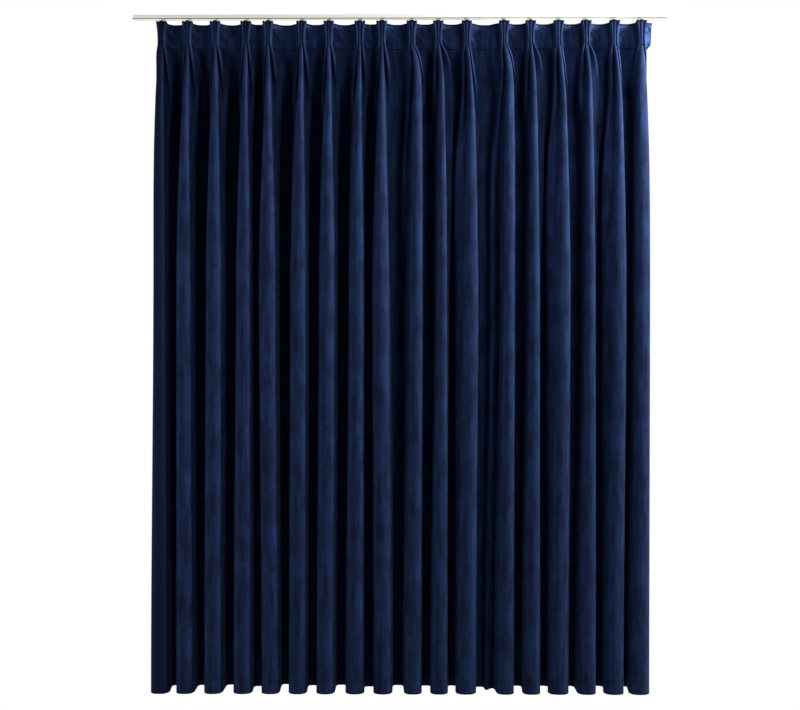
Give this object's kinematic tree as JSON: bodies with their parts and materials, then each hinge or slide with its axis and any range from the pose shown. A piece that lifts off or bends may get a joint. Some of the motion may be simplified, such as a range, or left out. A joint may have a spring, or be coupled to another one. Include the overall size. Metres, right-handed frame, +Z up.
{
  "type": "pinch pleat velvet curtain and ceiling track",
  "caption": "Full-length velvet curtain with triple pinch pleats, hanging closed in even folds from a slim C-shaped ceiling track with gliders and hooks.",
  "frame": {"origin": "middle of the track's top face, the face that goes against the ceiling", "axes": "+X along the curtain's width, -Y out of its front towards the room, +Z up"},
  "size_m": [1.9676, 0.1141, 2.482],
  "materials": {
    "velvet": "dense cut-pile velvet, deep navy blue",
    "track": "off-white satin coating",
    "glider": "moulded cream plastic",
    "hook": "bright zinc-plated wire"
  },
  "bodies": {
    "root": {"curtain_panel": "velvet", "track": "track", "end_cap_left": "track", "end_cap_right": "track", "glider_01": "glider", "glider_02": "glider", "glider_03": "glider", "glider_04": "glider", "glider_05": "glider", "glider_06": "glider", "glider_07": "glider", "glider_08": "glider", "glider_09": "glider", "glider_10": "glider", "glider_11": "glider", "glider_12": "glider", "glider_13": "glider", "glider_14": "glider", "glider_15": "glider", "glider_16": "glider", "glider_17": "glider", "glider_18": "glider", "hook_01": "hook", "hook_02": "hook", "hook_03": "hook", "hook_04": "hook", "hook_05": "hook", "hook_06": "hook", "hook_07": "hook", "hook_08": "hook", "hook_09": "hook", "hook_10": "hook", "hook_11": "hook", "hook_12": "hook", "hook_13": "hook", "hook_14": "hook", "hook_15": "hook", "hook_16": "hook", "hook_17": "hook", "hook_18": "hook"}
  },
  "joints": []
}
